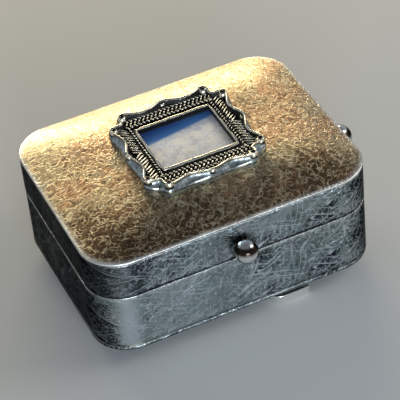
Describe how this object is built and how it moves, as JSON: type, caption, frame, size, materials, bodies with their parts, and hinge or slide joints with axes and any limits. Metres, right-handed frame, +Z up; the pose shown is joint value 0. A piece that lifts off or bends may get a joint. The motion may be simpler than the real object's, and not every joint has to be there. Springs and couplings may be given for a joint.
{
  "type": "hinged pill box",
  "caption": "Small tarnished silver pill box with a hinged domed lid, ball thumb-piece and a cast miniature picture frame on the lid.",
  "frame": {"origin": "centre of the box's outline on the surface the feet stand on", "axes": "+X along the front towards the side ball, +Y from the front towards the hinge, +Z up through the lid"},
  "size_m": [0.0476, 0.0397, 0.0232],
  "materials": {
    "silver": "worn, tarnished silver sheet",
    "lid_silver": "worn silver sheet with warm tarnish",
    "polished": "polished",
    "cast_frame": "cast, blackened in the recesses, polished on the ridges",
    "card": "pearly",
    "glass": "clear, polished"
  },
  "bodies": {
    "base": {"base_band": "silver", "base_plate": "silver", "inner_bezel": "silver", "catch_bead": "silver", "front_foot": "polished", "rear_foot_left": "polished", "rear_foot_right": "polished", "base_knuckle_left": "silver", "base_knuckle_middle": "silver", "base_knuckle_right": "silver", "hinge_pin": "polished"},
    "lid": {"lid_band": "silver", "lid_top": "lid_silver", "lid_knuckle_left": "silver", "lid_knuckle_right": "silver", "thumb_ball": "polished", "side_ball": "polished", "picture_frame": "cast_frame", "picture_card": "card", "frame_glass": "glass"}
  },
  "joints": [
    {"name": "lid_hinge", "type": "hinge", "parent": "base", "child": "lid", "pos_m": [0, 0.01825, 0.01268], "axis": [-1, 0, 0], "range_deg": [0, 105]}
  ]
}
